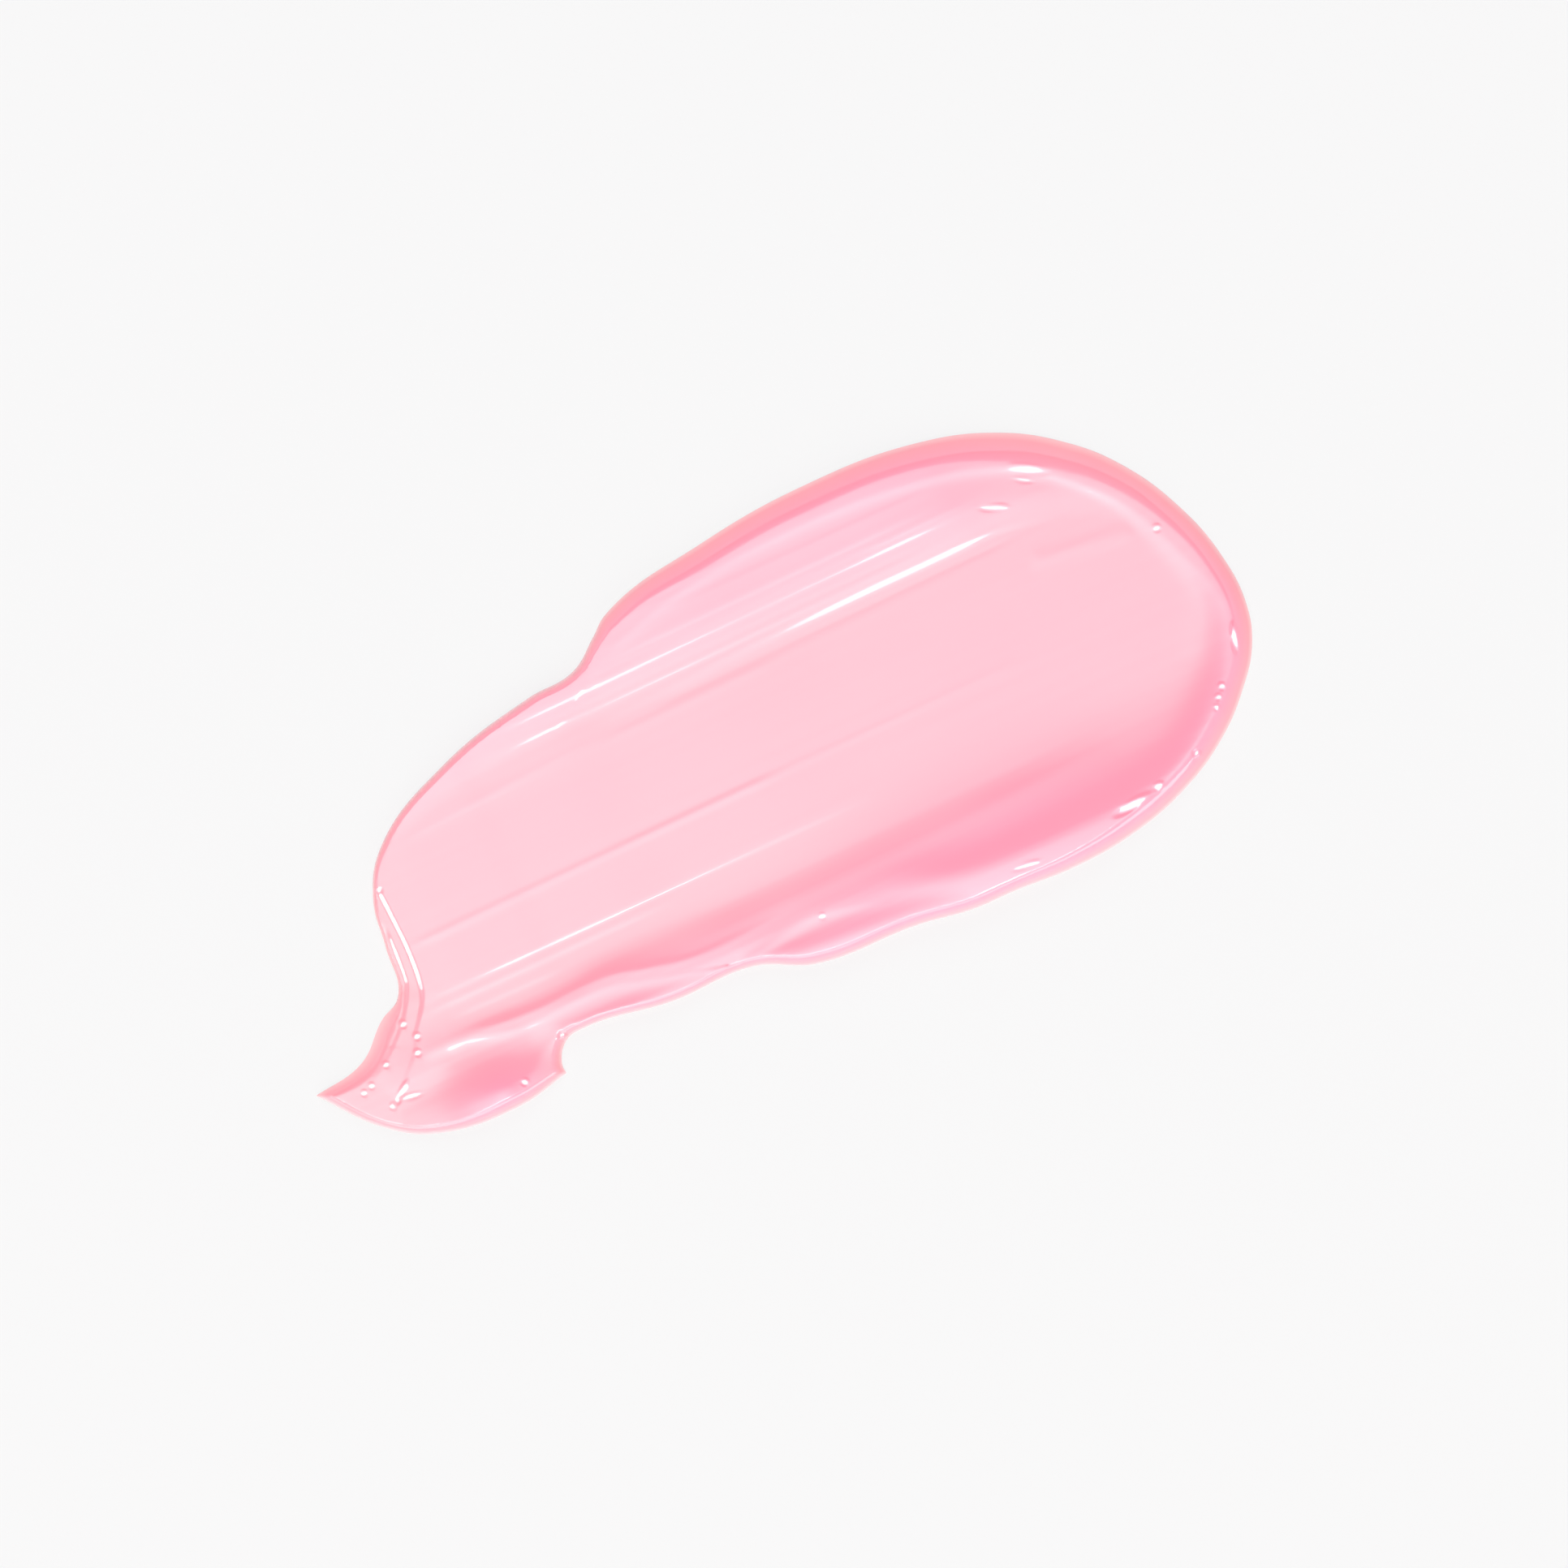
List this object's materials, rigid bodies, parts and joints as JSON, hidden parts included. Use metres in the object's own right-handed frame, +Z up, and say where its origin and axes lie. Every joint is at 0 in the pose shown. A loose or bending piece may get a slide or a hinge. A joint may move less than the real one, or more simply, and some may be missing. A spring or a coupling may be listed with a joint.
{
  "type": "lip gloss smear",
  "caption": "Smear of thick lip gloss drawn out flat to show its colour, with a rounded rim bead, a drawn-out film and a folded tail.",
  "frame": {"origin": "centre of the smear's bounding box, on its flat underside", "axes": "+X along the stroke from the tail to the rounded head, +Z up from the surface that the smear lies on"},
  "size_m": [0.0519, 0.0228, 0.0011],
  "materials": {
    "gloss": "wet gloss"
  },
  "bodies": {
    "root": {"gloss_smear": "gloss"}
  },
  "joints": []
}
